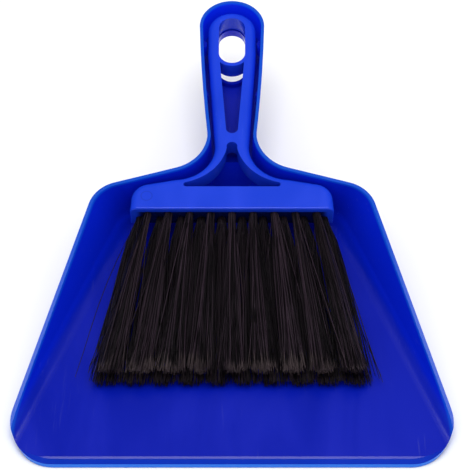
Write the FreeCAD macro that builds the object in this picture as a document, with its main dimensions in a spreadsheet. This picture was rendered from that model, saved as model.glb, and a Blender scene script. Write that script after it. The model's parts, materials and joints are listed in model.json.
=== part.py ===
import FreeCAD, Part
import math
import os
import re
import Sketcher

# A dustpan with a whisk brush nested in it, in millimetres, +Z up.
# The frame's origin is under the middle of the set, on the ground: +Y runs from the mouth
# to the hanging end of the handle, +X across the mouth.
# Outlines are drawn with y counted from the pan's front edge, or from the brush's end face.

SIZES = {
    # overall
    "set_length": 292.5,
    "rim_start": 3.0,            # height of the rim plane at the front edge
    "rim_tilt": 10.0,            # degrees
    "wall": 1.8,
    "block_top": 70.0,           # the pan's blocks are drawn this tall, then cut at the rim
    "margin": 10.0,              # cutting shapes overlap what they cut by this much
    "overshoot": 40.0,           # and run past its ends by this much
    "through": 600.0,            # length of a cut right through
    # tray
    "mouth_half": 115.6,         # where the side line would meet the front edge
    "side_slope": 0.345,         # the sides close in by this much per mm towards the handle
    "side_lean": 0.48,           # and lean out by this much per mm of height
    "nose_lean": 0.3,            # the front edge leans back
    "back_middle": 181.6,        # where the two shoulder lines would meet, on the ground
    "back_slope": 0.2907,
    "back_lean": 0.02,
    "floor_top": 3.7,
    "front_corner": 20.0,
    "shoulder_corner": 22.0,
    "neck_flare": 24.0,
    "foot_round": 9.0,
    "lip_edge": 1.5,             # height of the mouth's edge, where the lip's bevel starts
    "lip_slope": 0.4,            # the bevel rises by this much per mm inwards
    "lip_tilt": 14.0,            # degrees by which the bevel runs out up the front corners
    "lip_reach": 14.0,           # how far inwards the bevel is drawn
    "lip_over": 3.0,             # and how far outside the edge it starts
    "recess_depth": 1.8,         # hollow under the floor, inside a rim that stands on the ground
    "recess_rim": 8.0,
    "recess_front": 12.0,
    "recess_back": 150.0,
    # trough of the pan's handle
    "neck_half": 11.9,           # half-width of the handle at the neck, on the ground
    "grip_half": 16.5,           # and at its hanging end
    "grip_bulge": 1020.0,        # radius of the handle's gently bowed side
    "grip_lean": 0.05,
    "trough_depth": 16.5,
    "ramp_top": 190.7,           # where the trough's floor breaks down into the tray
    "ramp_lean": 0.35,
    "slot_near": 246.2,          # hanging slot
    "slot_far": 285.0,
    "slot_half": 7.8,
    "collar_wall": 1.8,
    "collar_height": 3.1,
    "collar_root": 1.0,          # the collar is sunk this far into the trough's floor
    "nub_near": 226.4,
    "nub_far": 262.8,
    "nub_radius": 3.8,
    "nub_high": 3.0,             # the nubs run between these depths below the rim
    "nub_low": 10.0,
    "nub_near_gap": 13.6,        # half the gap between a pair of nubs
    "nub_far_gap": 14.7,
    # brush body
    "head_front": 146.6,         # end face of the head, behind the front edge
    "head_height": 28.6,         # top edge of that face above the ground
    "brush_tilt": 8.81,
    "head_half": 55.8,
    "head_taper": 0.5,           # the head's ends close in by this much
    "head_lead": 1.0,            # the underside's slope is drawn from this far ahead of the face
    "head_thick": 14.0,
    "head_depth": 18.2,          # end face to the start of the shoulder
    "head_corner": 10.5,
    "shoulder_in": 31.0,         # half-width where the shoulder turns into the flare
    "shoulder_at": 21.0,
    "brush_flare": 22.5,
    "brush_neck_half": 9.7,
    "brush_neck_at": 44.0,
    "brush_grip_half": 14.1,
    "brush_grip_at": 112.0,
    "brush_length": 143.1,
    "neck_thick": 10.4,
    "end_thick": 9.6,
    "edge_round": 3.8,
    "front_round": 0.9,
    # cut-outs of the brush body
    "slit_near": 51.6,
    "slit_near_half": 3.4,
    "slit_far_half": 7.0,
    "hole_near": 102.9,
    "hole_far": 137.4,
    "hole_half": 7.7,
    "crossbar": 2.2,
    "window_near": 14.9,
    "window_near_half": 25.2,
    "window_side": 17.9,
    "window_bow": 30.0,
    "window_far_half": 2.9,
    "window_far_side": 41.4,
    "window_far": 45.4,
    "window_far_round": 3.0,
    # tufts
    "tuft_radius": 2.2,
    "socket_radius": 2.25,
    "socket_depth": 9.0,
    "upper_drop": 5.2,           # row centres below the head's top
    "lower_drop": 9.6,
    "upper_pitch": 11.55,
    "lower_pitch": 11.2,
    "bristle_length": 100.5,
    "upper_tip_pitch": 15.4,
    "lower_tip_pitch": 14.1,
    "upper_tip_height": 14.2,    # tip centres above the ground
    "lower_tip_height": 7.6,
    "tip_half_height": 3.1,
    "tip_gap": 0.5,
    "anchor_length": 5.6,
    "anchor_thick": 0.4,
    "anchor_depth": 1.8,
}
UPPER_COUNT = 9
LOWER_COUNT = 10
TURN_ABOUT_X = FreeCAD.Rotation(FreeCAD.Vector(1, 0, 0), 1)  # its angle is bound to the sheet

doc = FreeCAD.newDocument("dustpan_and_brush")
sheet = doc.addObject("Spreadsheet::Sheet", "Sizes")
for row, (alias, number) in enumerate(SIZES.items(), start=1):
    sheet.set(f"A{row}", alias)
    sheet.set(f"B{row}", str(number))
    sheet.setAlias(f"B{row}", alias)
doc.recompute()


def bound(formula):
    """Point each size named in a formula at its cell in the sheet."""
    def cell(word):
        name = word.group()
        return "Sizes." + name if name in SIZES else name
    return re.sub(r"[a-z_]+", cell, str(formula))


def value(formula):
    """The number a formula gives now."""
    return float(sheet.evalExpression(bound(formula)))


def origin_plane(body, role):
    for feature in body.Origin.OriginFeatures:
        if feature.Role == role:
            return feature
    raise ValueError("no plane " + role)


def new_body(name):
    body = doc.addObject("PartDesign::Body", name)
    body.Label = name
    return body


def both_sides(half):
    """Close a right-hand half outline, listed front to back, with its mirror image.

    Each corner is (x, y, radius of the edge that leaves it, or None for a straight edge).
    A positive radius bulges outwards, a negative one inwards.
    """
    corners = list(half)
    for before, corner in reversed(list(zip(half[:-1], half[1:]))):
        if corner is half[-1] and corner[0] == "0":
            corners[-1] = (corner[0], corner[1], before[2])
            continue
        corners.append((f"-({corner[0]})", corner[1], before[2]))
    if half[0][0] != "0":
        corners.append((f"-({half[0][0]})", half[0][1], None))
    return corners


def draw(body, name, role, lift, corners):
    """A closed outline on one of the body's own planes, every corner bound to the sheet."""
    sketch = body.newObject("Sketcher::SketchObject", name)
    sketch.AttachmentSupport = [(origin_plane(body, role), "")]
    sketch.MapMode = "FlatFace"
    sketch.setExpression("AttachmentOffset.Base.z", bound(lift))
    points = [FreeCAD.Vector(value(x), value(y), 0) for x, y, radius in corners]
    ends = []
    for index, (x, y, radius) in enumerate(corners):
        start = points[index]
        stop = points[(index + 1) % len(points)]
        if radius is None:
            sketch.addGeometry(Part.LineSegment(start, stop), False)
            ends.append((1, 2))
            continue
        size = value(radius)
        chord = stop - start
        sagitta = abs(size) - math.sqrt(max(size * size - chord.Length ** 2 / 4, 0))
        outward = FreeCAD.Vector(chord.y, -chord.x, 0).normalize()
        middle = (start + stop) / 2 + outward * math.copysign(sagitta, size)
        sketch.addGeometry(Part.Arc(start, middle, stop), False)
        ends.append((1, 2) if size > 0 else (2, 1))
    add = sketch.addConstraint
    for index, (x, y, radius) in enumerate(corners):
        following = (index + 1) % len(corners)
        add(Sketcher.Constraint("Coincident", index, ends[index][1], following, ends[following][0]))
    for index, (x, y, radius) in enumerate(corners):
        point = (index, ends[index][0])
        for kind, formula in (("DistanceX", x), ("DistanceY", y)):
            number = add(Sketcher.Constraint(kind, -1, 1, *point, value(formula)))
            sketch.setExpression(f"Constraints[{number}]", bound(formula))
        if radius is not None:
            number = add(Sketcher.Constraint("Radius", index, abs(value(radius))))
            sketch.setExpression(f"Constraints[{number}]", bound(f"abs({radius})"))
    sketch.Visibility = False
    return sketch


def edge_names(feature, test):
    """Names of the feature's edges that pass a test."""
    return [f"Edge{index}" for index, edge in enumerate(feature.Shape.Edges, start=1) if test(edge)]


def round_edges(body, name, size, test):
    """Round the edges of the body's latest shape that pass a test."""
    doc.recompute()
    base = body.Tip
    names = edge_names(base, test)
    if not names:
        raise ValueError("no edges for " + name)
    feature = body.newObject("PartDesign::Fillet", name)
    feature.Base = (base, names)
    feature.setExpression("Radius", bound(size))
    doc.recompute()
    if "Invalid" in feature.State or "Error" in feature.State or feature.Shape.isNull():
        raise ValueError(f"{name} failed on {names}")
    return feature


def pad(body, name, sketch, length, backwards=False):
    feature = body.newObject("PartDesign::Pad", name)
    feature.Profile = sketch
    feature.setExpression("Length", bound(length))
    feature.Reversed = backwards
    return feature


def pocket(body, name, sketch, length, backwards=False):
    """Cut a sketch into the body, by a depth or both ways right through, and check that it cut."""
    doc.recompute()
    before = body.Tip.Shape.Volume
    feature = body.newObject("PartDesign::Pocket", name)
    feature.Profile = sketch
    if length == "through":
        feature.SideType = "Symmetric"
        feature.setExpression("Length", bound("through"))
    else:
        feature.setExpression("Length", bound(length))
        feature.Reversed = backwards
    doc.recompute()
    if not feature.Shape.Volume < before - 0.01:
        raise ValueError(name + " cuts nothing")
    return feature


def rim_height(y):
    """Height of the rim plane above the ground at a distance from the front edge."""
    return f"(rim_start + tan(rim_tilt) * ({y}))"


def stand_on_ground(thing):
    """Put something drawn from the front edge into the set's own frame."""
    thing.setExpression("Placement.Base.y", bound("-set_length / 2"))


# ---- the dustpan: one shell, a tray that runs up into a trough-shaped handle ----

def rounded(corner, before, after, cosine, radius, hollow=False):
    """Swap a corner for the two ends of an arc that touches both of its sides.

    before and after point along the sides, away from the corner; cosine is of the angle between.
    """
    x, y = corner
    run = f"({radius} * sqrt((1 + {cosine}) / (1 - {cosine})))"
    bend = f"-({radius})" if hollow else radius
    return [
        (f"{x} + {run} * {before[0]}", f"{y} + {run} * {before[1]}", bend),
        (f"{x} + {run} * {after[0]}", f"{y} + {run} * {after[1]}", None),
    ]


def pan_outline(level, inset, mouth):
    """Right half of the pan at one height: side, shoulder, neck and handle, set in by a wall."""
    side_run = "sqrt(1 + side_slope ^ 2)"
    back_run = "sqrt(1 + back_slope ^ 2)"
    along_side = (f"-side_slope / {side_run}", f"1 / {side_run}")
    down_side = (f"side_slope / {side_run}", f"-1 / {side_run}")
    out_along_back = (f"1 / {back_run}", f"-back_slope / {back_run}")
    in_along_back = (f"-1 / {back_run}", f"back_slope / {back_run}")
    side = f"(mouth_half + side_lean * {level} - {inset} * {side_run})"
    back = f"(back_middle + back_lean * {level} - {inset} * {back_run})"
    front_x = f"({side} - side_slope * {mouth})"
    shoulder_x = f"(({side} - side_slope * {back}) / (1 - side_slope * back_slope))"
    shoulder_y = f"({back} - back_slope * {shoulder_x})"
    neck_x = f"(neck_half + grip_lean * {level} - {inset})"
    neck_y = f"({back} - back_slope * {neck_x})"
    grip = f"(grip_half + grip_lean * {level} - {inset})"
    hang = f"(set_length + grip_lean * ({level} - {rim_height('set_length')}) - {inset})"
    front = rounded((front_x, mouth), ("-1", "0"), along_side,
                    f"side_slope / {side_run}", "front_corner")
    shoulder = rounded((shoulder_x, shoulder_y), down_side, in_along_back,
                       f"-(side_slope + back_slope) / ({side_run} * {back_run})",
                       f"(shoulder_corner - {inset})")
    neck = rounded((neck_x, neck_y), out_along_back, ("0", "1"),
                   f"-back_slope / {back_run}", f"(neck_flare + {inset})", hollow=True)
    neck[1] = (neck[1][0], neck[1][1], "grip_bulge")
    return front + shoulder + neck + [(grip, f"{hang} - {grip}", grip), ("0", hang, None)]


def pan_block(name, bottom, inset, mouth_lean, mouth_start):
    """A tall block with the pan's outline, leaning out as it rises."""
    body = new_body(name)
    stand_on_ground(body)
    sections = []
    for title, level in (("Foot", bottom), ("Brim", "block_top")):
        mouth = f"({mouth_start} + {mouth_lean} * {level})"
        half = pan_outline(level, inset, mouth)
        sections.append(draw(body, name + title, "XY_Plane", level, both_sides(half)))
    block = body.newObject("PartDesign::AdditiveLoft", name + "Block")
    block.Profile = sections[0]
    block.Sections = sections[1:]
    block.Ruled = True
    return body


def below_trough(body, name, drop):
    """Cut away what lies under the trough's floor and behind the ramp down to the tray."""
    back = f"({drop} * sqrt(1 + ramp_lean ^ 2))"
    ledge = f"(ramp_top + {back} - ramp_lean * {drop})"
    far = "(set_length + overshoot)"
    ledge_height = f"({rim_height(ledge)} - trough_depth - {drop})"
    profile = [
        (f"{ledge} - ramp_lean * ({ledge_height} + margin)", "-margin", None),
        (ledge, ledge_height, None),
        (far, f"{rim_height(far)} - trough_depth - {drop}", None),
        (far, "-margin", None),
    ]
    pocket(body, name, draw(body, name + "Profile", "YZ_Plane", "0", profile[::-1]), "through")


def above_rim(body, name):
    """Cut away what lies above the sloping rim."""
    far = "(set_length + overshoot)"
    profile = [
        ("-overshoot", rim_height("-overshoot"), None),
        (far, rim_height(far), None),
        (far, "block_top + overshoot", None),
        ("-overshoot", "block_top + overshoot", None),
    ]
    pocket(body, name, draw(body, name + "Profile", "YZ_Plane", "0", profile), "through")


def tilted_outline(name, half, lift, length):
    """A pad drawn square to the rim plane, at a depth below it."""
    body = new_body(name)
    body.Placement = FreeCAD.Placement(FreeCAD.Vector(0, 0, 0), TURN_ABOUT_X)
    body.setExpression("Placement.Rotation.Angle", bound("rim_tilt"))
    body.setExpression("Placement.Base.y", bound("-set_length / 2"))
    body.setExpression("Placement.Base.z", bound("rim_start"))
    outline = draw(body, name + "Outline", "XY_Plane", lift, both_sides(half))
    pad(body, name + "Pad", outline, length)
    return body


def long_slot(near, far, half):
    """Right half of a slot with round ends."""
    return [
        ("0", near, half),
        (half, f"{near} + {half}", None),
        (half, f"{far} - {half}", half),
        ("0", far, None),
    ]


def lip_outline(inset):
    """Right half of the mouth with its corners, set in from the outline on the ground."""
    side_run = "sqrt(1 + side_slope ^ 2)"
    side = f"(mouth_half - ({inset}) * {side_run})"
    along_side = (f"-side_slope / {side_run}", f"1 / {side_run}")
    corner = rounded((f"({side} - side_slope * ({inset}))", inset), ("-1", "0"), along_side,
                     f"side_slope / {side_run}", f"(front_corner - ({inset}))")
    back = "(2 * lip_reach)"
    return corner + [(f"{side} - side_slope * {back}", back, None)]


def make_lip_space():
    """What the lip's bevel takes off the mouth's edge and its corners."""
    core = new_body("LipCore")
    core.Placement = FreeCAD.Placement(FreeCAD.Vector(0, 0, 0), TURN_ABOUT_X)
    core.setExpression("Placement.Rotation.Angle", bound("lip_tilt"))
    core.setExpression("Placement.Base.y", bound("-set_length / 2"))
    core.setExpression("Placement.Base.z", bound("lip_edge"))
    sections = []
    for title, inset, lift in (("Base", "-lip_over", "-overshoot"),
                               ("Edge", "-lip_over", "-lip_over * lip_slope"),
                               ("Crown", "lip_reach", "lip_reach * lip_slope")):
        half = lip_outline(inset)
        sections.append(draw(core, "Lip" + title, "XY_Plane", lift, both_sides(half)))
    block = core.newObject("PartDesign::AdditiveLoft", "LipBlock")
    block.Profile = sections[0]
    block.Sections = sections[1:]
    block.Ruled = True
    room = doc.addObject("Part::Box", "LipRoom")
    room.setExpression("Length", bound("2 * (mouth_half + margin)"))
    room.setExpression("Width", bound("lip_reach + margin"))
    room.setExpression("Height", bound("4 * margin"))
    room.setExpression("Placement.Base.x", bound("-mouth_half - margin"))
    room.setExpression("Placement.Base.y", bound("-set_length / 2 - margin"))
    room.setExpression("Placement.Base.z", bound("-margin"))
    return boolean("Part::Cut", "LipSpace", room, [core])


def boolean(kind, name, base, tools):
    """A union or difference of document objects."""
    if kind == "Part::Cut":
        result = doc.addObject("Part::Cut", name)
        result.Base = base
        result.Tool = tools[0]
    else:
        result = doc.addObject("Part::MultiFuse", name)
        result.Shapes = [base] + tools
    result.Label = name
    return result


def make_nubs():
    """Half-round nubs that stand out of the trough's walls and hold the brush in."""
    nubs = []
    for place, gap in (("nub_near", "nub_near_gap"), ("nub_far", "nub_far_gap")):
        for side in (-1, 1):
            nub = doc.addObject("Part::Cylinder", "Nub")
            nub.setExpression("Radius", bound("nub_radius"))
            nub.setExpression("Height", bound("nub_low - nub_high"))
            nub.setExpression("Placement.Base.x", bound(f"{side} * ({gap} + nub_radius)"))
            nub.setExpression("Placement.Base.y", bound(f"{place} - set_length / 2"))
            nub.setExpression("Placement.Base.z", bound(f"{rim_height(place)} - nub_low"))
            nubs.append(nub)
    return nubs


def make_dustpan():
    shell = pan_block("PanShell", "0", "0", "nose_lean", "0")
    below_trough(shell, "PanShellUnder", "wall")
    above_rim(shell, "PanShellRim")
    recess = [(f"mouth_half - recess_rim - side_slope * {y}", y, None)
              for y in ("recess_front", "recess_back")]
    recess_outline = draw(shell, "RecessOutline", "XY_Plane", "0", both_sides(recess))
    pocket(shell, "PanShellRecess", recess_outline, "recess_depth", backwards=True)
    hollow = pan_block("PanHollow", "floor_top", "wall", "0", "-overshoot")
    below_trough(hollow, "PanHollowUnder", "0")
    round_edges(hollow, "PanHollowFoot", "foot_round", foot_edge)
    depth = "(trough_depth * cos(rim_tilt))"
    around_slot = long_slot("(slot_near - collar_wall)", "(slot_far + collar_wall)",
                            "(slot_half + collar_wall)")
    collar = tilted_outline("Collar", around_slot, f"-{depth} - collar_root",
                            "collar_height + collar_root")
    slot = tilted_outline("Slot", long_slot("slot_near", "slot_far", "slot_half"),
                          f"-{depth} - margin", "collar_height + 2 * margin")
    raised = boolean("Part::MultiFuse", "RaisedParts", collar, make_nubs())
    space = boolean("Part::Cut", "PanSpace", hollow, [raised])
    shell_open = boolean("Part::Cut", "PanOpen", shell, [space])
    bevelled = boolean("Part::Cut", "PanBevelled", shell_open, [make_lip_space()])
    return boolean("Part::Cut", "dustpan", bevelled, [slot])


def foot_edge(edge):
    """True for an edge between the tray's floor and its side, shoulder or neck wall."""
    box = edge.BoundBox
    flat = box.ZLength < 0.001 and abs(box.ZMin - value("floor_top")) < 0.001
    across = box.YLength < 0.001
    return flat and not across


# ---- the brush: a head and a looped handle in one moulding, with tufts stapled into it ----

def set_on_brush(thing, x="0", y="0", depth="0", turn="0"):
    """Place something in the brush's frame: y back from the end face, depth below its top."""
    thing.Placement = FreeCAD.Placement(FreeCAD.Vector(0, 0, 0), TURN_ABOUT_X)
    tilt = "brush_tilt"
    thing.setExpression("Placement.Rotation.Angle", bound(f"{tilt} + {turn}"))
    thing.setExpression("Placement.Base.x", bound(x))
    thing.setExpression("Placement.Base.y", bound(
        f"head_front - set_length / 2 + cos({tilt}) * ({y}) + sin({tilt}) * ({depth})"))
    thing.setExpression("Placement.Base.z", bound(
        f"head_height + sin({tilt}) * ({y}) - cos({tilt}) * ({depth})"))


def brush_outline():
    """Right half of the brush body: head, shoulder, flare and handle."""
    return [
        ("head_half", "0", None),
        ("head_half - head_taper", "head_depth - head_corner", "head_corner"),
        ("head_half - head_corner", "head_depth", None),
        ("shoulder_in", "shoulder_at", "-brush_flare"),
        ("brush_neck_half", "brush_neck_at", None),
        ("brush_grip_half", "brush_grip_at", None),
        ("brush_grip_half", "brush_length - brush_grip_half", "brush_grip_half"),
        ("0", "brush_length", None),
    ]


def slit_outline():
    """The long tapering slit, closed at its wide end by the curved crossbar."""
    bar = "(hole_half + crossbar)"
    bar_ends = f"hole_near + hole_half - sqrt({bar} ^ 2 - slit_far_half ^ 2)"
    return [
        ("0", "slit_near", "slit_near_half"),
        ("slit_near_half", "slit_near + slit_near_half", None),
        ("slit_far_half", bar_ends, f"-{bar}"),
    ]


def window_outline():
    """The three-cornered window between head and neck, its sides bowed inwards."""
    corner = "((window_side - window_near) / 2)"
    return [
        ("window_near_half", "window_near", corner),
        (f"window_near_half + {corner}", f"window_near + {corner}", corner),
        ("window_near_half", "window_side", "-window_bow"),
        ("window_far_half", "window_far_side", "window_far_round"),
        ("0", "window_far", None),
    ]


def level_edge(height):
    """A test for edges that lie at one height."""
    return lambda edge: edge.BoundBox.ZLength < 0.001 and abs(edge.BoundBox.ZMin - height) < 0.001


def front_edge(edge):
    """True for the top edge of the head's end face."""
    box = edge.BoundBox
    return box.YMax < 0.001 and abs(box.ZMax) < 0.001 and box.XLength > 20


def round_hole(body, name, x, height, radius):
    """A circle on the end face's plane."""
    sketch = body.newObject("Sketcher::SketchObject", name)
    sketch.AttachmentSupport = [(origin_plane(body, "XZ_Plane"), "")]
    sketch.MapMode = "FlatFace"
    sketch.addGeometry(Part.Circle(FreeCAD.Vector(value(x), value(height), 0),
                                   FreeCAD.Vector(0, 0, 1), value(radius)), False)
    for kind, ends, formula in (("DistanceX", (-1, 1, 0, 3), x), ("DistanceY", (-1, 1, 0, 3), height),
                                ("Radius", (0,), radius)):
        number = sketch.addConstraint(Sketcher.Constraint(kind, *ends, value(formula)))
        sketch.setExpression(f"Constraints[{number}]", bound(formula))
    sketch.Visibility = False
    return sketch


def row_of(body, feature, name, pitch, count):
    """Repeat a cut across the head."""
    pattern = body.newObject("PartDesign::LinearPattern", name)
    pattern.Originals = [feature]
    pattern.Direction = (origin_plane(body, "X_Axis"), [""])
    pattern.setExpression("Length", bound(f"{pitch} * {count - 1}"))
    pattern.Occurrences = count
    body.Tip = pattern
    doc.recompute()


def sockets(body, name, drop, pitch, count):
    """A row of blind holes in the end face, each with a slot at its bottom for the anchor."""
    first = f"-{pitch} * {(count - 1) / 2}"
    hole = pocket(body, name, round_hole(body, name + "Circle", first, f"-{drop}", "socket_radius"),
                  "socket_depth")
    row_of(body, hole, name + "Row", pitch, count)
    left = f"({first} - anchor_length / 2)"
    right = f"({first} + anchor_length / 2)"
    low = f"(-{drop} - anchor_thick / 2)"
    high = f"(-{drop} + anchor_thick / 2)"
    slot = draw(body, name + "AnchorProfile", "XZ_Plane", "-(socket_depth - anchor_depth)",
                [(left, low, None), (right, low, None), (right, high, None), (left, high, None)])
    bite = pocket(body, name + "Anchor", slot, "anchor_depth")
    row_of(body, bite, name + "AnchorRow", pitch, count)


def make_brush_body():
    body = new_body("brush_body")
    set_on_brush(body)
    outline = draw(body, "BrushOutline", "XY_Plane", "0", both_sides(brush_outline()))
    pad(body, "BrushBlock", outline, "head_thick", backwards=True)
    underside = [
        ("-head_lead", "-head_thick", None),
        ("shoulder_at", "-neck_thick", None),
        ("brush_length + margin", "-end_thick", None),
        ("brush_length + margin", "-head_thick - margin", None),
        ("-head_lead", "-head_thick - margin", None),
    ]
    profile = draw(body, "BrushUndersideProfile", "YZ_Plane", "0", underside[::-1])
    pocket(body, "BrushUnderside", profile, "through")
    top = level_edge(0)
    round_edges(body, "BrushTopRound", "edge_round",
                lambda edge: top(edge) and not front_edge(edge))
    round_edges(body, "BrushFrontRound", "front_round", front_edge)
    for name, half in (("BrushSlit", slit_outline()),
                       ("BrushHangHole", long_slot("hole_near", "hole_far", "hole_half")),
                       ("BrushWindow", window_outline())):
        cutter = draw(body, name + "Outline", "XY_Plane", "0", both_sides(half))
        pocket(body, name, cutter, "through")
    sockets(body, "UpperSocket", "upper_drop", "upper_pitch", UPPER_COUNT)
    sockets(body, "LowerSocket", "lower_drop", "lower_pitch", LOWER_COUNT)
    return body


def make_anchor(name, x, drop):
    """The flat wire staple that pins a tuft's fold at the bottom of its socket."""
    anchor = doc.addObject("Part::Box", name)
    anchor.Label = name
    anchor.setExpression("Length", bound("anchor_length"))
    anchor.setExpression("Width", bound("anchor_depth"))
    anchor.setExpression("Height", bound("anchor_thick"))
    set_on_brush(anchor, f"{x} - anchor_length / 2", "socket_depth - anchor_depth",
                 f"{drop} + anchor_thick / 2")
    return anchor


def make_tuft(name, x, drop, tip_x, tip_height, tip_half, anchor):
    """A tuft: a round root in its socket, spreading to a wide flat tip, less its anchor."""
    root = doc.addObject("Part::Cylinder", name + "_root")
    root.setExpression("Radius", bound("tuft_radius"))
    root.setExpression("Height", bound("socket_depth"))
    set_on_brush(root, x, "0", drop, "-90")
    base = doc.addObject("Part::Circle", name + "_base")
    base.setExpression("Radius", bound("tuft_radius"))
    set_on_brush(base, x, "0", drop, "-90")
    tip = doc.addObject("Part::Ellipse", name + "_tip")
    tip.setExpression("MajorRadius", bound(tip_half))
    tip.setExpression("MinorRadius", bound("tip_half_height"))
    tip_drop = f"((head_height - {tip_height} - sin(brush_tilt) * bristle_length) / cos(brush_tilt))"
    set_on_brush(tip, tip_x, "-bristle_length", tip_drop, "-90")
    spread = doc.addObject("Part::Loft", name + "_spread")
    spread.Sections = [base, tip]
    spread.Solid = True
    whole = boolean("Part::MultiFuse", name + "_whole", root, [spread])
    return boolean("Part::Cut", name, whole, [anchor])


def make_row(title, drop, pitch, tip_pitch, tip_height, count):
    """One row of tufts and their anchors, fanning out towards the tips."""
    pieces = []
    for index in range(count):
        across = index - (count - 1) / 2
        x = f"{pitch} * {across}"
        anchor = make_anchor(f"anchor_{title}_{index + 1}", x, drop)
        tuft = make_tuft(f"tuft_{title}_{index + 1}", x, drop, f"{tip_pitch} * {across}", tip_height,
                         f"({tip_pitch} - tip_gap) / 2", anchor)
        pieces += [anchor, tuft]
    return pieces


nodes = [make_dustpan(), make_brush_body()]
nodes += make_row("upper", "upper_drop", "upper_pitch", "upper_tip_pitch", "upper_tip_height",
                  UPPER_COUNT)
nodes += make_row("lower", "lower_drop", "lower_pitch", "lower_tip_pitch", "lower_tip_height",
                  LOWER_COUNT)
doc.recompute()

for thing in doc.Objects:
    if "Invalid" in thing.State or "Error" in thing.State:
        raise ValueError(f"{thing.Name} failed: {thing.State}")
os.makedirs("parts", exist_ok=True)
for node in nodes:
    if node.Shape.isNull() or not node.Shape.isValid():
        raise ValueError(node.Label + " has no sound shape")
    node.Shape.exportStep(f"parts/{node.Label}.step")
    print(node.Label, "volume", round(node.Shape.Volume, 1), "solids", len(node.Shape.Solids))
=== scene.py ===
"""Finish for a dustpan with a whisk brush nested in it.

The CAD frame brings the pan, the brush body, the anchors and solid tufts. This script gives
the first three their finishes, grows bristles in place of the tufts, and sets up the stage.
"""

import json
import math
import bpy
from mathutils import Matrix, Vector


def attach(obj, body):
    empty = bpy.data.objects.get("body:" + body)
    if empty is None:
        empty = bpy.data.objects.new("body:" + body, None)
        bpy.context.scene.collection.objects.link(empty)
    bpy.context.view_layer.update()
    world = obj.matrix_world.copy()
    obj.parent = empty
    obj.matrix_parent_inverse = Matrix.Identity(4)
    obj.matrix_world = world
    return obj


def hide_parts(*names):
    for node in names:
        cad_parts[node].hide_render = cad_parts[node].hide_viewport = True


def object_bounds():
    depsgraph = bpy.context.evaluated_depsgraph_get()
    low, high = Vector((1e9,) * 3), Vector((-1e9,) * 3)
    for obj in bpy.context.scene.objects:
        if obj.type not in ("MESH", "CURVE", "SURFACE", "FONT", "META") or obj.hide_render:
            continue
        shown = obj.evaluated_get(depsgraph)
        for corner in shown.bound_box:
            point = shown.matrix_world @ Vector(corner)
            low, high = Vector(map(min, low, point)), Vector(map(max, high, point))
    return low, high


bl_info = {
    "name": "Dustpan and Brush",
    "version": (1, 0, 0),
    "blender": (4, 5, 0),
    "location": "3D View > Sidebar > Dustpan",
    "description": "Moulded finishes, bristles and a studio stage for a dustpan and brush",
    "category": "Object",
}

import bpy
from bpy.props import FloatProperty, FloatVectorProperty, IntProperty, PointerProperty
from mathutils import Vector

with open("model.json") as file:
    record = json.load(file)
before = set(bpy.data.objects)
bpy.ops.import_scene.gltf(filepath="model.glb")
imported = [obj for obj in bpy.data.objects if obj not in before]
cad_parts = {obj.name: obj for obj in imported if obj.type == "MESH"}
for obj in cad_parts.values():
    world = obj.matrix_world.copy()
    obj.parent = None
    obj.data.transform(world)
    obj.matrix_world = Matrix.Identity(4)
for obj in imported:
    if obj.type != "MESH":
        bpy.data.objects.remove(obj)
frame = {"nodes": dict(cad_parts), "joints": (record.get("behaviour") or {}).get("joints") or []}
CAD_BOX = [list(corner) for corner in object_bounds()]

MM = 0.001
ACROSS = Vector((1, 0, 0))
LIFT = Vector(frame["joints"][0]["axis"]).normalized()  # square to the brush's top face
BACK = LIFT.cross(ACROSS)                               # from the head to the hanging end

UPPER_TUFTS = sorted(name for name in frame["nodes"] if name.startswith("tuft_upper"))
LOWER_TUFTS = sorted(name for name in frame["nodes"] if name.startswith("tuft_lower"))
ANCHORS = sorted(name for name in frame["nodes"] if name.startswith("anchor"))
HOLE_DEPTH = 9 * MM
TRAY_FLOOR = 3.7 * MM  # height of the tray's floor


# ---- what a user can change ----

class BristleSettings(bpy.types.PropertyGroup):
    filaments: IntProperty(
        name="Filaments per tuft",
        description="Filament ends that stand out of each tuft hole",
        default=120, min=10, max=200)
    radius: FloatProperty(
        name="Filament radius",
        description="Half the thickness of one filament",
        default=0.21 * MM, unit="LENGTH", subtype="DISTANCE")
    root_radius: FloatProperty(
        name="Root radius",
        description="Radius of the tuft where it leaves its hole",
        default=2.1 * MM, unit="LENGTH", subtype="DISTANCE")
    trim: FloatProperty(
        name="Trim",
        description="How much shorter the shortest filaments are than the longest",
        default=2.2 * MM, unit="LENGTH", subtype="DISTANCE")
    sway: FloatProperty(
        name="Sway",
        description="How far the middle of a filament strays from a straight line",
        default=1.3 * MM, unit="LENGTH", subtype="DISTANCE")
    fray: FloatProperty(
        name="Fray",
        description="How far the worn tips wander sideways",
        default=1.6 * MM, unit="LENGTH", subtype="DISTANCE")
    root_colour: FloatVectorProperty(
        name="Bristle colour",
        description="Colour of the darkest filaments",
        default=(0.0032, 0.0014, 0.0036), size=3, min=0, max=1, subtype="COLOR")
    pale_colour: FloatVectorProperty(
        name="Pale filament colour",
        description="Colour of the palest filaments",
        default=(0.046, 0.026, 0.044), size=3, min=0, max=1, subtype="COLOR")
    tip_colour: FloatVectorProperty(
        name="Tip colour",
        description="Colour of the worn, split tips",
        default=(0.070, 0.050, 0.054), size=3, min=0, max=1, subtype="COLOR")


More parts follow.
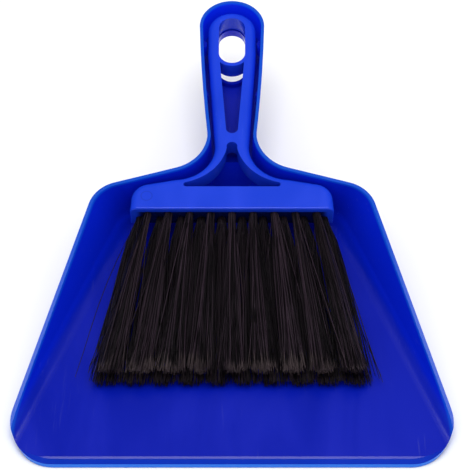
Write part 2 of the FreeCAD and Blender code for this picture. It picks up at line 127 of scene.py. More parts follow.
class PlasticSettings(bpy.types.PropertyGroup):
    pan_colour: FloatVectorProperty(
        name="Pan colour",
        description="Colour of the dustpan's plastic",
        default=(0.0004, 0.0080, 0.36), size=3, min=0, max=1, subtype="COLOR")
    # Painted light: the wall and edge colours are paler blues that stand in for light coming
    # through the thin plastic.
    wall_colour: FloatVectorProperty(
        name="Pan wall colour",
        description="Colour of the pan's thin walls, where light comes through them",
        default=(0.0012, 0.014, 0.62), size=3, min=0, max=1, subtype="COLOR")
    brush_colour: FloatVectorProperty(
        name="Brush colour",
        description="Colour of the brush body's plastic",
        default=(0.007, 0.043, 0.60), size=3, min=0, max=1, subtype="COLOR")
    edge_colour: FloatVectorProperty(
        name="Edge colour",
        description="Colour of thin edges, where light comes through the plastic",
        default=(0.004, 0.16, 0.80), size=3, min=0, max=1, subtype="COLOR")
    gloss: FloatProperty(
        name="Roughness",
        description="Roughness of the clean moulded surface",
        default=0.16, min=0, max=1, subtype="FACTOR")


class StageSettings(bpy.types.PropertyGroup):
    camera_distance: FloatProperty(
        name="Camera distance",
        description="From the camera to the point that it looks at",
        default=0.8, unit="LENGTH", subtype="DISTANCE")
    camera_elevation: FloatProperty(
        name="Camera elevation",
        description="Angle of the camera above the horizon",
        default=math.radians(48), unit="ROTATION", subtype="ANGLE")
    look_ahead: FloatProperty(
        name="Look-at point",
        description="How far behind the set's middle the camera looks",
        default=6.91 * MM, unit="LENGTH", subtype="DISTANCE")
    lens: FloatProperty(
        name="Lens",
        description="Focal length on a 36 mm sensor",
        default=109.13, subtype="DISTANCE_CAMERA")
    top_light: FloatProperty(
        name="Top light",
        description="Power of the soft box overhead",
        default=4.1, unit="POWER")
    back_light: FloatProperty(
        name="Back light",
        description="Power of the wide, dim panel high behind the set",
        default=0.13, unit="POWER")
    room_light: FloatProperty(
        name="Room light",
        description="Strength of the even light from all round",
        default=0.82, min=0)
    floor_colour: FloatVectorProperty(
        name="Floor colour",
        description="Colour of the sweep that the set stands on",
        default=(0.96, 0.96, 0.96), size=3, min=0, max=1, subtype="COLOR")


# ---- node helpers ----

def put(tree, kind, feeds=None, **settings):
    """Add a node, set its options, and feed its inputs with values or other nodes' outputs."""
    made = tree.nodes.new(kind)
    for name, setting in settings.items():
        setattr(made, name, setting)
    for socket, source in (feeds or {}).items():
        if isinstance(source, bpy.types.NodeSocket):
            tree.links.new(source, made.inputs[socket])
        else:
            made.inputs[socket].default_value = source
    return made


def calc(tree, operation, *terms):
    """A Math node's result."""
    return put(tree, "ShaderNodeMath", dict(enumerate(terms)), operation=operation).outputs[0]


def vector_calc(tree, operation, *terms):
    """A Vector Math node's result; a scale factor is given as the last term."""
    sockets = [0, 3] if operation == "SCALE" else range(len(terms))
    made = put(tree, "ShaderNodeVectorMath", dict(zip(sockets, terms)), operation=operation)
    return made.outputs["Value" if operation in ("DOT_PRODUCT", "LENGTH") else "Vector"]


def blend_colours(tree, factor, first, second):
    """One colour faded into another."""
    made = put(tree, "ShaderNodeMix", {0: factor, 6: first, 7: second}, data_type="RGBA")
    return made.outputs[2]


def step_up(tree, value, start, end):
    """0 before the start, 1 past the end, and smooth between; the end may be the lower one."""
    made = put(tree, "ShaderNodeMapRange", {0: value, 1: start, 2: end},
               interpolation_type="SMOOTHSTEP")
    return made.outputs[0]


def new_group(name, inputs, outputs):
    """An empty shader node group with named inputs and outputs."""
    group = bpy.data.node_groups.new(name, "ShaderNodeTree")
    for title, kind, default in inputs:
        socket = group.interface.new_socket(title, in_out="INPUT", socket_type=kind)
        if default is not None:
            socket.default_value = default
    for title, kind in outputs:
        group.interface.new_socket(title, in_out="OUTPUT", socket_type=kind)
    return group, group.nodes.new("NodeGroupInput"), group.nodes.new("NodeGroupOutput")


def use_group(tree, group, feeds):
    """A node that runs a group."""
    return put(tree, "ShaderNodeGroup", feeds, node_tree=group)


def new_material(name):
    """A new material, with its node tree, its Principled surface and its coordinates."""
    material = bpy.data.materials.new(name)
    material.use_nodes = True
    tree = material.node_tree
    surface = tree.nodes["Principled BSDF"]
    coordinates = put(tree, "ShaderNodeTexCoord").outputs
    return material, tree, surface, coordinates


def opaque(colour):
    """A colour with full alpha."""
    return (*colour, 1.0)


# ---- effects, as shader node groups ----

FLOW_SCALE = (30.0, 9.0, 30.0)
# Two sets of scuffs: their turn in radians, and the scale of their noise along X, Y and Z.
SCUFF_SETS = ((0.25, (900.0, 22.0, 900.0)), (-0.4, (700.0, 30.0, 700.0)))


def moulded_skin_group():
    """Slight ripples, flow marks and fine scuffs of an injection-moulded surface."""
    group, given, result = new_group(
        "Moulded skin",
        [("Place", "NodeSocketVector", None),
         ("Ripple Size", "NodeSocketFloat", 90.0),
         ("Scuff Amount", "NodeSocketFloat", 0.5)],
        [("Flow", "NodeSocketFloat"),
         ("Scuffs", "NodeSocketFloat"),
         ("Relief", "NodeSocketFloat")])
    place = given.outputs["Place"]
    ripple = put(group, "ShaderNodeTexNoise",
                 {"Vector": place, "Scale": given.outputs["Ripple Size"], "Detail": 2.0}).outputs[0]
    flow_place = put(group, "ShaderNodeMapping",
                     {"Vector": place, "Scale": FLOW_SCALE}).outputs[0]
    flow = put(group, "ShaderNodeTexNoise",
               {"Vector": flow_place, "Scale": 1.0, "Detail": 4.0, "Distortion": 0.8}).outputs[0]
    scuffs = None
    for turn, stretch in SCUFF_SETS:
        lines = put(group, "ShaderNodeMapping",
                    {"Vector": place, "Rotation": (0.0, 0.0, turn), "Scale": stretch}).outputs[0]
        noise = put(group, "ShaderNodeTexNoise",
                    {"Vector": lines, "Scale": 1.0, "Detail": 3.0}).outputs[0]
        cut = step_up(group, noise, 0.64, 0.74)
        scuffs = cut if scuffs is None else calc(group, "MAXIMUM", scuffs, cut)
    patches = put(group, "ShaderNodeTexNoise", {"Vector": place, "Scale": 28.0}).outputs[0]
    scuffs = calc(group, "MULTIPLY", scuffs, step_up(group, patches, 0.45, 0.65))
    scuffs = calc(group, "MULTIPLY", scuffs, given.outputs["Scuff Amount"])
    relief = calc(group, "SUBTRACT", ripple, calc(group, "MULTIPLY", scuffs, 0.3))
    group.links.new(step_up(group, flow, 0.3, 0.7), result.inputs["Flow"])
    group.links.new(scuffs, result.inputs["Scuffs"])
    group.links.new(relief, result.inputs["Relief"])
    return group


def thin_edge_group():
    """Marks what lies within a depth below a sloping plane, such as a rim or a top edge."""
    group, given, result = new_group(
        "Thin edge",
        [("Place", "NodeSocketVector", None),
         ("Plane Point", "NodeSocketVector", None),
         ("Plane Up", "NodeSocketVector", None),
         ("Depth", "NodeSocketFloat", 0.002)],
        [("Mask", "NodeSocketFloat")])
    reach = vector_calc(group, "SUBTRACT", given.outputs["Plane Point"], given.outputs["Place"])
    below = vector_calc(group, "DOT_PRODUCT", reach, given.outputs["Plane Up"])
    share = calc(group, "DIVIDE", below, given.outputs["Depth"])
    group.links.new(calc(group, "SUBTRACT", 1.0, step_up(group, share, 0.3, 1.0)),
                    result.inputs["Mask"])
    return group


# ---- finishes ----

MOUTH = CAD_BOX[0][1]                                   # front end of the tray's lip
RIM_TILT = math.radians(10)
RIM_START = Vector((0, MOUTH, 3 * MM))
RIM_UP = Vector((0, -math.sin(RIM_TILT), math.cos(RIM_TILT)))
RIM_DEPTH = 1.6 * MM                                    # the pale line along the rim, painted light through the thin rim
BRIM_DEPTH = 6 * MM                                     # the pale band below it, outside, painted light through the thin wall

# Where each of the pan's marks of painted light starts and where it is full. A height is on Z, a
# place on Y, and a facing is the upward part of the surface's normal.
LIP_HEIGHTS = (2.2 * MM, 0.8 * MM)
LIP_PLACES = (MOUTH + 3 * MM, MOUTH + 2 * MM)
CORNER_HEIGHTS = (7 * MM, 4 * MM)
CORNER_PLACES = (MOUTH + 40 * MM, MOUTH + 15 * MM)
RIM_HEIGHTS = (3.8 * MM, 4.8 * MM)
HANDLE_PLACES = (35 * MM, 60 * MM)
UPRIGHT_FACINGS = (0.9, 0.5)
OUTER_FACINGS = (0.0, -0.1)                             # walls lean out, and face a little down
INNER_FACINGS = (0.0, 0.04)                             # their inner sides face a little up
RIM_PALENESS = 0.4
HANDLE_GLOW = 0.3
PAN_SCUFF_COLOUR = (0.25, 0.3, 0.85, 1.0)
NO_LIGHT = (0.0, 0.0, 0.0, 1.0)

HEAD_EDGE = Vector((0, 0.35 * MM, 28.6 * MM))           # top edge of the head's end face
PIN_MARK = HEAD_EDGE + BACK * 8.6 * MM - ACROSS * 46.7 * MM
PIN_RADIUS = 3.0 * MM
PIN_LINE = (0.5 * MM, 0.1 * MM)                         # distances to either side of the ring
# Painted shade on the head's end face: a dark band between the tufts, where their shade falls.
END_SHADE_BEHIND = (1.2 * MM, 0.3 * MM)                    # distances behind the end face
END_SHADE_BELOW = (-2.6 * MM, -3.4 * MM)                   # distances from the head's top edge
END_SHADE_ACROSS = (53 * MM, 49 * MM)                      # distances from the brush's middle
END_SHADE_COLOUR = (0.0008, 0.0012, 0.012, 1.0)
BRUSH_SCUFF_COLOUR = (0.3, 0.4, 0.95, 1.0)


def streaky(tree, marks, colour, brighter):
    """A plastic's colour, brighter along its flow marks."""
    return blend_colours(tree, marks.outputs["Flow"], opaque(colour),
                         opaque([brighter * part for part in colour]))


def coat(tree, surface, marks, colour, gloss, haze, relief):
    """Give a surface its colour, its gloss with flow marks and scuffs in it, and its relief."""
    rough = calc(tree, "MULTIPLY_ADD", marks.outputs["Flow"], haze, gloss)
    rough = calc(tree, "MULTIPLY_ADD", marks.outputs["Scuffs"], 0.2, rough)
    bump = put(tree, "ShaderNodeBump", {"Strength": relief, "Distance": 0.4 * MM,
                                        "Height": marks.outputs["Relief"]})
    tree.links.new(colour, surface.inputs["Base Color"])
    tree.links.new(rough, surface.inputs["Roughness"])
    tree.links.new(bump.outputs[0], surface.inputs["Normal"])
    surface.inputs["Specular IOR Level"].default_value = 0.4


def pan_plastic(settings, skin, thin_edge):
    """Deep blue gloss, with painted light: paler where light comes through the walls, the rim and
    the lip, and a faint painted glow on the handle's inner walls.
    """
    material, tree, surface, coordinates = new_material("Pan plastic")
    place = coordinates["Object"]
    at = put(tree, "ShaderNodeSeparateXYZ", {0: place}).outputs
    facing = put(tree, "ShaderNodeSeparateXYZ", {0: coordinates["Normal"]}).outputs["Z"]
    upright = step_up(tree, calc(tree, "ABSOLUTE", facing), *UPRIGHT_FACINGS)
    marks = use_group(tree, skin, {"Place": place, "Scuff Amount": 0.3})
    base = streaky(tree, marks, settings.pan_colour, 1.18)
    # Painted light: the upright walls are paler, for light coming through them.
    base = blend_colours(tree, upright, base, opaque(settings.wall_colour))

    rim, brim = [use_group(tree, thin_edge, {"Place": place, "Plane Point": RIM_START,
                                             "Plane Up": RIM_UP, "Depth": depth}).outputs["Mask"]
                 for depth in (RIM_DEPTH, BRIM_DEPTH)]
    rim = calc(tree, "MULTIPLY", rim, step_up(tree, at["Z"], *RIM_HEIGHTS))
    outside = calc(tree, "MULTIPLY", step_up(tree, facing, *OUTER_FACINGS), upright)
    outside = calc(tree, "MULTIPLY", outside, brim)
    lip = calc(tree, "MULTIPLY", step_up(tree, at["Z"], *LIP_HEIGHTS),
               step_up(tree, at["Y"], *LIP_PLACES))
    corner = calc(tree, "MULTIPLY", upright, step_up(tree, at["Z"], *CORNER_HEIGHTS))
    corner = calc(tree, "MULTIPLY", corner, step_up(tree, at["Y"], *CORNER_PLACES))
    # Painted light: the rim line, the lip, the front corners and the outer walls near the rim are
    # paled towards the edge colour.
    pale = calc(tree, "MULTIPLY", rim, RIM_PALENESS)
    for mark in (lip, corner, outside):
        pale = calc(tree, "MAXIMUM", pale, mark)
    colour = blend_colours(tree, pale, base, opaque(settings.edge_colour))
    scuffed = blend_colours(tree, calc(tree, "MULTIPLY", marks.outputs["Scuffs"], 0.12),
                            colour, PAN_SCUFF_COLOUR)

    # Painted glow: the handle's inner walls give off a faint light of the wall colour, though they
    # are no lamp.
    handle = calc(tree, "MULTIPLY", upright, step_up(tree, at["Y"], *HANDLE_PLACES))
    handle = calc(tree, "MULTIPLY", handle, step_up(tree, facing, *INNER_FACINGS))
    glow = blend_colours(tree, calc(tree, "MULTIPLY", handle, HANDLE_GLOW), NO_LIGHT,
                         opaque(settings.wall_colour))
    tree.links.new(glow, surface.inputs["Emission Color"])
    surface.inputs["Emission Strength"].default_value = 1.0
    coat(tree, surface, marks, scuffed, settings.gloss, haze=0.06, relief=0.12)
    return material


def brush_plastic(settings, skin):
    """Brighter blue gloss, with an ejector pin's ring on the head and painted shade between the
    tufts.
    """
    material, tree, surface, coordinates = new_material("Brush plastic")
    place = coordinates["Object"]
    marks = use_group(tree, skin, {"Place": place, "Ripple Size": 130.0, "Scuff Amount": 0.3})
    base = streaky(tree, marks, settings.brush_colour, 1.15)
    colour = blend_colours(tree, calc(tree, "MULTIPLY", marks.outputs["Scuffs"], 0.1),
                           base, BRUSH_SCUFF_COLOUR)

    from_pin = vector_calc(tree, "SUBTRACT", place, PIN_MARK)
    above = vector_calc(tree, "DOT_PRODUCT", from_pin, LIFT)
    flat = vector_calc(tree, "SUBTRACT", from_pin, vector_calc(tree, "SCALE", LIFT, above))
    off_ring = calc(tree, "ABSOLUTE",
                    calc(tree, "SUBTRACT", vector_calc(tree, "LENGTH", flat), PIN_RADIUS))
    ring = step_up(tree, off_ring, *PIN_LINE)
    colour = blend_colours(tree, calc(tree, "MULTIPLY", ring, 0.35), colour,
                           opaque([0.45 * part for part in settings.brush_colour]))

    # Painted shade: the end face between the tufts is darkened nearly to black.
    from_edge = vector_calc(tree, "SUBTRACT", place, HEAD_EDGE)
    behind = step_up(tree, vector_calc(tree, "DOT_PRODUCT", from_edge, BACK), *END_SHADE_BEHIND)
    below = step_up(tree, vector_calc(tree, "DOT_PRODUCT", from_edge, LIFT), *END_SHADE_BELOW)
    side = put(tree, "ShaderNodeSeparateXYZ", {0: place}).outputs["X"]
    between = step_up(tree, calc(tree, "ABSOLUTE", side), *END_SHADE_ACROSS)
    end_shade = calc(tree, "MULTIPLY", calc(tree, "MULTIPLY", behind, below), between)
    colour = blend_colours(tree, calc(tree, "MULTIPLY", end_shade, 0.92), colour, END_SHADE_COLOUR)
    coat(tree, surface, marks, colour, settings.gloss, haze=0.08, relief=0.15)
    return material


def anchor_wire():
    """Drawn flat steel wire, streaked along its length."""
    material, tree, surface, coordinates = new_material("Anchor wire")
    lines = put(tree, "ShaderNodeMapping",
                {"Vector": coordinates["Object"], "Scale": (60.0, 4000.0, 4000.0)})
    streaks = put(tree, "ShaderNodeTexNoise", {"Vector": lines.outputs[0], "Scale": 1.0}).outputs[0]
    colour = blend_colours(tree, streaks, (0.42, 0.40, 0.36, 1.0), (0.62, 0.60, 0.56, 1.0))
    tree.links.new(colour, surface.inputs["Base Color"])
    tree.links.new(calc(tree, "MULTIPLY_ADD", streaks, 0.3, 0.2), surface.inputs["Roughness"])
    surface.inputs["Metallic"].default_value = 1.0
    return material


def bristle_plastic(settings, name, wear_and_light):
    """Near-black filaments that differ a little, with paler tips where they are worn; a low wear
    and light value darkens filaments and tips as painted shade.
    """
    material, tree, surface, coordinates = new_material(name)
    place = coordinates["Object"]
    strand = put(tree, "ShaderNodeAttribute", attribute_name="strand").outputs["Fac"]
    along = put(tree, "ShaderNodeAttribute", attribute_name="along").outputs["Fac"]
    grain = put(tree, "ShaderNodeTexNoise", {"Vector": place, "Scale": 60.0}).outputs[0]
    pale = calc(tree, "MULTIPLY", step_up(tree, strand, 0.25, 1.0),
                calc(tree, "MULTIPLY_ADD", grain, 0.5, 0.6))
    # Painted shade: a low value darkens the filaments of a shaded row, and below, their worn tips.
    pale = calc(tree, "MULTIPLY", pale, 0.3 + 0.7 * wear_and_light)
    body = blend_colours(tree, pale, opaque(settings.root_colour), opaque(settings.pale_colour))
    worn_from = calc(tree, "MULTIPLY_ADD", strand, -0.10, 0.97)
    past = calc(tree, "SUBTRACT", along, worn_from)
    worn = calc(tree, "MULTIPLY", step_up(tree, past, 0.0, 0.05),
                step_up(tree, grain, 0.35, 0.6))
    worn = calc(tree, "MULTIPLY", worn, wear_and_light)
    tree.links.new(blend_colours(tree, worn, body, opaque(settings.tip_colour)),
                   surface.inputs["Base Color"])
    tree.links.new(calc(tree, "MULTIPLY_ADD", grain, 0.2, 0.35), surface.inputs["Roughness"])
    surface.inputs["Specular IOR Level"].default_value = 0.3
    return material


def give_finish(node_name, material):
    """Put a material in every slot of a CAD node."""
    for slot in frame["nodes"][node_name].material_slots:
        slot.material = material


# ---- bristles ----

SAME_END = 0.1 * MM     # corners of a tuft that are this close along it are at the same end
HOLE_RUN = 4 * MM       # how far a filament runs back into its hole
WANDER = 1.1            # radians that a tip may turn round its tuft, away from its root
TIP_HEIGHT = 0.9        # height of the tips' spread, against the solid tuft's
FRAY_POWER = 7.0        # keeps the fray to the last part of a filament
TIP_THINNING = 0.35     # part of its thickness that a filament loses at its tip
STEPS = 9               # points along a filament

# What sets the rows apart: title, tufts, fan, bloom, added reach, wear and light, and seed. The fan
# widens a tuft's tip, a bloom below 1 opens the tuft nearer its root, and wear and light pale the
# filaments and tips: the lower row's low value is painted shade, for the row that lies in shadow.
ROWS = (
    ("upper", UPPER_TUFTS, 0.86, 1.0, 0.0, 1.0, 11),
    ("lower", LOWER_TUFTS, 1.06, 0.35, 3.5 * MM, 0.12, 47),
)
LOOSE_FAN = 2.6
LOOSE_SWAY = 2.5        # against the sway of the rows
LOOSE_SEED = 100        # added to the row's own seed

# Tufts that let three filaments stray, and how far these lean to the side, in mm.
STRAYS = (
    ("tuft_upper_1", -9.5), ("tuft_lower_1", -7.0), ("tuft_lower_10", 7.0),
    ("tuft_upper_9", 3.5), ("tuft_upper_9", 7.5), ("tuft_upper_2", 12.0),
    ("tuft_upper_6", 9.0), ("tuft_lower_10", 10.5), ("tuft_upper_8", 13.0),
)
STRAY_SPREAD = 1.5 * MM
STRAY_SWAY = 1.8        # against the sway of the rows
STRAY_THICKNESS = 1.2   # against the filaments of the rows
STRAY_SEED = 205


def tuft_ends(node_name):
    """A tuft's centre at its hole's bottom and at its tip, and its tip's half width and height."""
    corners = [vertex.co for vertex in frame["nodes"][node_name].data.vertices]
    along = [corner.dot(BACK) for corner in corners]
    ends = []
    for level in (max(along), min(along)):
        ring = [corner for corner, at in zip(corners, along) if abs(at - level) < SAME_END]
        across = [corner.dot(ACROSS) for corner in ring]
        lift = [corner.dot(LIFT) for corner in ring]
        centre = (ACROSS * (max(across) + min(across)) / 2
                  + LIFT * (max(lift) + min(lift)) / 2 + BACK * level)
        ends.append(centre)
        half = ((max(across) - min(across)) / 2, (max(lift) - min(lift)) / 2)
    return ends[0], ends[1], half


def bristle_tree():
    """Geometry Nodes: many filaments from each tuft point, fanning out to the tuft's tip."""
    tree = bpy.data.node_groups.new("Bristles", "GeometryNodeTree")
    face = tree.interface
    face.new_socket("Geometry", in_out="INPUT", socket_type="NodeSocketGeometry")
    for name, kind in (("Filaments", "Int"), ("Filament Radius", "Float"),
                       ("Root Radius", "Float"), ("Hole Run", "Float"), ("Fan", "Float"),
                       ("Bloom", "Float"), ("Trim", "Float"), ("Sway", "Float"),
                       ("Fray", "Float"), ("Steps", "Int"), ("Seed", "Int"),
                       ("Lowest", "Float"), ("Lift", "Vector"), ("Back", "Vector"),
                       ("Material", "Material")):
        face.new_socket(name, in_out="INPUT", socket_type="NodeSocket" + kind)
    face.new_socket("Geometry", in_out="OUTPUT", socket_type="NodeSocketGeometry")
    given = put(tree, "NodeGroupInput").outputs

    def chance(offset, low=0.0, high=1.0):
        """A random number for each filament, from its own run of draws."""
        seed = calc(tree, "ADD", given["Seed"], float(offset))
        return put(tree, "FunctionNodeRandomValue", {2: low, 3: high, 8: seed}).outputs[1]

    def disc_point(offset, angle):
        """A random point of the unit disc, as a pair of numbers."""
        out = calc(tree, "SQRT", chance(offset))
        return [calc(tree, "MULTIPLY", out, calc(tree, turn, angle))
                for turn in ("COSINE", "SINE")]

    def spread_out(pair, half_across, half_lift):
        """A pair of numbers as a step across and a step along the lift."""
        across = calc(tree, "MULTIPLY", pair[0], half_across)
        step = put(tree, "ShaderNodeCombineXYZ", {"X": across}).outputs[0]
        lift = calc(tree, "MULTIPLY", pair[1], half_lift)
        return vector_calc(tree, "ADD", step, vector_calc(tree, "SCALE", given["Lift"], lift))

    def read(name, kind):
        return put(tree, "GeometryNodeInputNamedAttribute", {"Name": name},
                   data_type=kind).outputs[0]

    def store(geometry, name, kind, value):
        return put(tree, "GeometryNodeStoreNamedAttribute",
                   {"Geometry": geometry, "Name": name, "Value": value},
                   data_type=kind, domain="POINT").outputs[0]

    many = put(tree, "GeometryNodeDuplicateElements",
               {"Geometry": given["Geometry"], "Amount": given["Filaments"]},
               domain="POINT").outputs[0]
    angle = chance(1, 0.0, 2 * math.pi)
    at_root = disc_point(2, angle)
    at_tip = disc_point(3, calc(tree, "ADD", angle, chance(4, -WANDER, WANDER)))
    half = put(tree, "ShaderNodeSeparateXYZ", {0: read("tip_half", "FLOAT_VECTOR")}).outputs
    root = vector_calc(tree, "ADD", put(tree, "GeometryNodeInputPosition").outputs[0],
                       spread_out(at_root, given["Root Radius"], given["Root Radius"]))
    wide = calc(tree, "MULTIPLY", half["X"], given["Fan"])
    high = calc(tree, "MULTIPLY", half["Y"], TIP_HEIGHT)
    tip = vector_calc(tree, "ADD", read("tip", "FLOAT_VECTOR"), spread_out(at_tip, wide, high))
    shorter = calc(tree, "ADD", calc(tree, "POWER", chance(5), 2.0),
                   calc(tree, "POWER", calc(tree, "ABSOLUTE", at_tip[0]), 3.0))
    shorter = calc(tree, "MULTIPLY", shorter, given["Trim"])
    tip = vector_calc(tree, "ADD", tip, vector_calc(tree, "SCALE", given["Back"], shorter))
    opening = calc(tree, "SUBTRACT", calc(tree, "MULTIPLY", at_tip[0], wide),
                   calc(tree, "MULTIPLY", at_root[0], given["Root Radius"]))
    sway = spread_out([chance(6, -1.0, 1.0), chance(7, -1.0, 1.0)], given["Sway"], given["Sway"])
    fray = spread_out([chance(8, -1.0, 1.0), chance(9, -1.0, 1.0)], given["Fray"], given["Fray"])
    for name, kind, value in (("root", "FLOAT_VECTOR", root), ("tip", "FLOAT_VECTOR", tip),
                              ("sway", "FLOAT_VECTOR", sway), ("fray", "FLOAT_VECTOR", fray),
                              ("opening", "FLOAT", opening), ("strand", "FLOAT", chance(10))):
        many = store(many, name, kind, value)

    line = put(tree, "GeometryNodeCurvePrimitiveLine").outputs[0]
    line = put(tree, "GeometryNodeResampleCurve",
               {"Curve": line, "Count": given["Steps"]}).outputs[0]
    lines = put(tree, "GeometryNodeInstanceOnPoints",
                {"Points": many, "Instance": line}).outputs[0]
    lines = put(tree, "GeometryNodeRealizeInstances", {0: lines}).outputs[0]

    index = put(tree, "GeometryNodeSplineParameter").outputs["Index"]
    out_of_hole = calc(tree, "MAXIMUM", calc(tree, "SUBTRACT", index, 1.0), 0.0)
    along = calc(tree, "DIVIDE", out_of_hole, calc(tree, "SUBTRACT", given["Steps"], 2.0))
    inside = calc(tree, "MULTIPLY", calc(tree, "LESS_THAN", index, 0.5), given["Hole Run"])
    straight = put(tree, "ShaderNodeMix", {0: along, 4: read("root", "FLOAT_VECTOR"),
                                           5: read("tip", "FLOAT_VECTOR")},
                   data_type="VECTOR", factor_mode="UNIFORM").outputs[1]
    place = vector_calc(tree, "ADD", straight,
                        vector_calc(tree, "SCALE", given["Back"], inside))
    early = calc(tree, "SUBTRACT", calc(tree, "POWER", along, given["Bloom"]), along)
    outwards = calc(tree, "MULTIPLY", read("opening", "FLOAT"), early)
    place = vector_calc(tree, "ADD", place, vector_calc(tree, "SCALE", ACROSS, outwards))
    bow = calc(tree, "SINE", calc(tree, "MULTIPLY", along, math.pi))
    place = vector_calc(tree, "ADD", place,
                        vector_calc(tree, "SCALE", read("sway", "FLOAT_VECTOR"), bow))
    late = calc(tree, "POWER", along, FRAY_POWER)
    place = vector_calc(tree, "ADD", place,
                        vector_calc(tree, "SCALE", read("fray", "FLOAT_VECTOR"), late))
    parts = put(tree, "ShaderNodeSeparateXYZ", {0: place}).outputs
    height = calc(tree, "MAXIMUM", parts["Z"], given["Lowest"])
    place = put(tree, "ShaderNodeCombineXYZ",
                {"X": parts["X"], "Y": parts["Y"], "Z": height}).outputs[0]
    lines = put(tree, "GeometryNodeSetPosition",
                {"Geometry": lines, "Position": place}).outputs[0]
    lines = store(lines, "along", "FLOAT", along)
    ring = put(tree, "GeometryNodeCurvePrimitiveCircle",
               {"Resolution": 4, "Radius": given["Filament Radius"]}).outputs[0]
    thin = calc(tree, "MULTIPLY_ADD", late, -TIP_THINNING, 1.0)
    mesh = put(tree, "GeometryNodeCurveToMesh", {"Curve": lines, "Profile Curve": ring,
                                                 "Scale": thin, "Fill Caps": True}).outputs[0]
    for name in ("root", "tip", "sway", "fray", "opening", "tip_half"):
        mesh = put(tree, "GeometryNodeRemoveAttribute",
                   {"Geometry": mesh, "Name": name}).outputs[0]
    mesh = put(tree, "GeometryNodeRealizeInstances", {0: mesh}).outputs[0]
    mesh = put(tree, "GeometryNodeSetMaterial",
               {"Geometry": mesh, "Material": given["Material"]}).outputs[0]
    put(tree, "NodeGroupOutput", {"Geometry": mesh})
    return tree


def grow(name, points, tree, values):
    """Run the bristle tree on one point for each tuft, and keep the result as a plain mesh.

    points is a list of (root, tip, (half width, half height)).
    """
    seed_mesh = bpy.data.meshes.new(name + "_points")
    seed_mesh.from_pydata([root for root, tip, half in points], [], [])
    tips = seed_mesh.attributes.new("tip", "FLOAT_VECTOR", "POINT")
    halves = seed_mesh.attributes.new("tip_half", "FLOAT_VECTOR", "POINT")
    for index, (root, tip, half) in enumerate(points):
        tips.data[index].vector = tip
        halves.data[index].vector = (*half, 0)
    source = bpy.data.objects.new(name + "_source", seed_mesh)
    bpy.context.scene.collection.objects.link(source)
    modifier = source.modifiers.new("Bristles", "NODES")
    modifier.node_group = tree
    for item in tree.interface.items_tree:
        if item.in_out == "INPUT" and item.name in values:
            modifier[item.identifier] = values[item.name]
    shown = source.evaluated_get(bpy.context.evaluated_depsgraph_get())
    mesh = bpy.data.meshes.new_from_object(shown)
    mesh.name = name
    bpy.data.objects.remove(source)
    piece = bpy.data.objects.new(name, mesh)
    bpy.context.scene.collection.objects.link(piece)
    mesh.shade_smooth()
    return piece


def tuft_points(node_name, reach):
    """Where a tuft leaves its hole, its tip with the reach added, and the tip's half size."""
    bottom, tip, half = tuft_ends(node_name)
    return bottom - BACK * HOLE_DEPTH, tip - BACK * reach, half


# ---- stage ----

FLOOR_HALF = 3.0        # half the floor's width
FLOOR_DROP = 0.3 * MM   # keeps the floor clear of the pan's underside
LIGHT_AIM = Vector((0, 0, 0))
TOP_PLACE = (0, 0, 1.0)
TOP_SIZE = (0.6, 0.6)
BACK_PLACE = (0, 0.62, 0.98)
BACK_SIZE = (1.5, 0.5)
SENSOR_WIDTH = 36       # mm
CAMERA_SHIFT = 0.0064   # sideways shift of the view, as a part of its width


# ---- operators ----

class DUSTPAN_OT_finish_plastic(bpy.types.Operator):
    """Give the dustpan and the brush body their moulded plastic"""
    bl_idname = "dustpan.finish_plastic"
    bl_label = "Finish Plastic Parts"

    def execute(self, context):
        settings = context.scene.dustpan_plastic
        skin = moulded_skin_group()
        give_finish("dustpan", pan_plastic(settings, skin, thin_edge_group()))
        give_finish("brush_body", brush_plastic(settings, skin))
        return {"FINISHED"}


class DUSTPAN_OT_finish_anchors(bpy.types.Operator):
    """Give the anchors in the tuft holes their drawn steel"""
    bl_idname = "dustpan.finish_anchors"
    bl_label = "Finish Anchors"

    def execute(self, context):
        wire = anchor_wire()
        for name in ANCHORS:
            give_finish(name, wire)
        return {"FINISHED"}


class DUSTPAN_OT_grow_bristles(bpy.types.Operator):
    """Grow filaments out of both rows of tufts"""
    bl_idname = "dustpan.grow_bristles"
    bl_label = "Grow Bristles"

    def execute(self, context):
        settings = context.scene.dustpan_bristles
        tree = bristle_tree()
        lowest = TRAY_FLOOR + 1.5 * settings.radius  # so that no filament sinks into the floor
        common = {"Filament Radius": settings.radius, "Root Radius": settings.root_radius,
                  "Hole Run": HOLE_RUN, "Steps": STEPS, "Trim": settings.trim,
                  "Fray": settings.fray, "Lift": LIFT, "Back": BACK, "Lowest": lowest}
        finishes = {}
        for title, tufts, fan, bloom, reach, wear_and_light, seed in ROWS:
            finishes[title] = bristle_plastic(settings, f"Bristles {title}", wear_and_light)
            points = [tuft_points(name, reach) for name in tufts]
            row = grow(f"bristles_{title}", points, tree, {
                **common, "Filaments": settings.filaments, "Fan": fan, "Bloom": bloom,
                "Sway": settings.sway, "Seed": seed, "Material": finishes[title]})
            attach(row, "brush")
            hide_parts(*tufts)
            loose = [*points, *points[:1], *points[-1:]]  # the end tufts are looser
            stray = grow(f"loose_bristles_{title}", loose, tree, {
                **common, "Filaments": 4, "Fan": LOOSE_FAN, "Bloom": 1.0,
                "Sway": LOOSE_SWAY * settings.sway, "Seed": seed + LOOSE_SEED,
                "Material": finishes[title]})
            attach(stray, "brush")
        points = []
        for name, lean in STRAYS:
            root, tip, half = tuft_points(name, 0.0)
            points.append((root, tip + ACROSS * lean * MM, (STRAY_SPREAD, half[1])))
        crossing = grow("stray_bristles", points, tree, {
            **common, "Filament Radius": STRAY_THICKNESS * settings.radius, "Filaments": 3,
            "Fan": 1.0, "Bloom": 1.0, "Sway": STRAY_SWAY * settings.sway, "Seed": STRAY_SEED,
            "Material": finishes["lower"]})
        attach(crossing, "brush")
        return {"FINISHED"}


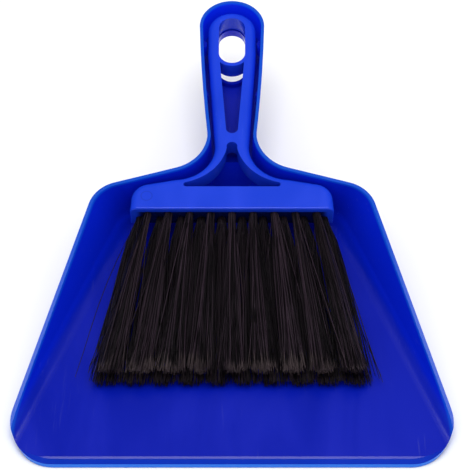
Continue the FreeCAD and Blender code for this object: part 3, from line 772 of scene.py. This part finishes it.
class DUSTPAN_OT_set_stage(bpy.types.Operator):
    """Set up the floor, the lights and the camera"""
    bl_idname = "dustpan.set_stage"
    bl_label = "Set Stage"

    def execute(self, context):
        settings = context.scene.dustpan_stage
        self.lay_floor(settings)
        self.hang_lights(context, settings)
        self.place_camera(context, settings)
        context.scene.view_settings.view_transform = "Standard"
        return {"FINISHED"}

    def lay_floor(self, settings):
        mesh = bpy.data.meshes.new("floor")
        corners = [(x * FLOOR_HALF, y * FLOOR_HALF, -FLOOR_DROP)
                   for x, y in ((-1, -1), (1, -1), (1, 1), (-1, 1))]
        mesh.from_pydata(corners, [], [(0, 1, 2, 3)])
        floor = bpy.data.objects.new("floor", mesh)
        bpy.context.scene.collection.objects.link(floor)
        material, _, surface, _ = new_material("Floor")
        surface.inputs["Base Color"].default_value = opaque(settings.floor_colour)
        surface.inputs["Roughness"].default_value = 0.8
        surface.inputs["Specular IOR Level"].default_value = 0.1
        mesh.materials.append(material)

    def hang_lights(self, context, settings):
        world = bpy.data.worlds.new("Room")
        world.use_nodes = True
        background = world.node_tree.nodes["Background"].inputs
        background["Color"].default_value = (1, 1, 1, 1)
        background["Strength"].default_value = settings.room_light
        world.cycles_visibility.glossy = False  # the gloss doesn't reflect the room's even light
        context.scene.world = world
        self.soft_box("top_light", TOP_PLACE, TOP_SIZE, settings.top_light)
        self.soft_box("back_light", BACK_PLACE, BACK_SIZE, settings.back_light)

    def soft_box(self, name, place, size, power):
        data = bpy.data.lights.new(name, "AREA")
        data.shape = "RECTANGLE"
        data.size, data.size_y = size
        data.energy = power
        light = bpy.data.objects.new(name, data)
        light.location = place
        light.rotation_euler = (LIGHT_AIM - Vector(place)).to_track_quat("-Z", "Y").to_euler()
        bpy.context.scene.collection.objects.link(light)

    def place_camera(self, context, settings):
        data = bpy.data.cameras.new("camera")
        data.lens = settings.lens
        data.sensor_width = SENSOR_WIDTH
        data.shift_x = CAMERA_SHIFT
        target = Vector((0, settings.look_ahead, 0))
        tilt = settings.camera_elevation
        back = Vector((0, -math.cos(tilt), math.sin(tilt)))
        camera = bpy.data.objects.new("camera", data)
        camera.location = target + back * settings.camera_distance
        camera.rotation_euler = (-back).to_track_quat("-Z", "Y").to_euler()
        context.scene.collection.objects.link(camera)
        context.scene.camera = camera


class DUSTPAN_PT_panel(bpy.types.Panel):
    bl_idname = "DUSTPAN_PT_panel"
    bl_label = "Dustpan and Brush"
    bl_space_type = "VIEW_3D"
    bl_region_type = "UI"
    bl_category = "Dustpan"

    def draw(self, context):
        for operator in OPERATORS:
            self.layout.operator(operator.bl_idname)
        for group in (context.scene.dustpan_plastic, context.scene.dustpan_bristles,
                      context.scene.dustpan_stage):
            box = self.layout.box()
            for name in group.__annotations__:
                box.prop(group, name)


SETTINGS = {
    "dustpan_plastic": PlasticSettings,
    "dustpan_bristles": BristleSettings,
    "dustpan_stage": StageSettings,
}
OPERATORS = (
    DUSTPAN_OT_set_stage,
    DUSTPAN_OT_finish_plastic,
    DUSTPAN_OT_finish_anchors,
    DUSTPAN_OT_grow_bristles,
)


def register():
    for kind in (*SETTINGS.values(), *OPERATORS, DUSTPAN_PT_panel):
        bpy.utils.register_class(kind)
    for name, kind in SETTINGS.items():
        setattr(bpy.types.Scene, name, PointerProperty(type=kind))


def unregister():
    for name in SETTINGS:
        delattr(bpy.types.Scene, name)
    for kind in (DUSTPAN_PT_panel, *OPERATORS, *SETTINGS.values()):
        bpy.utils.unregister_class(kind)


def main():
    register()
    bpy.ops.dustpan.set_stage()
    bpy.ops.dustpan.finish_plastic()
    bpy.ops.dustpan.finish_anchors()
    bpy.ops.dustpan.grow_bristles()


if __name__ == "__main__":
    main()
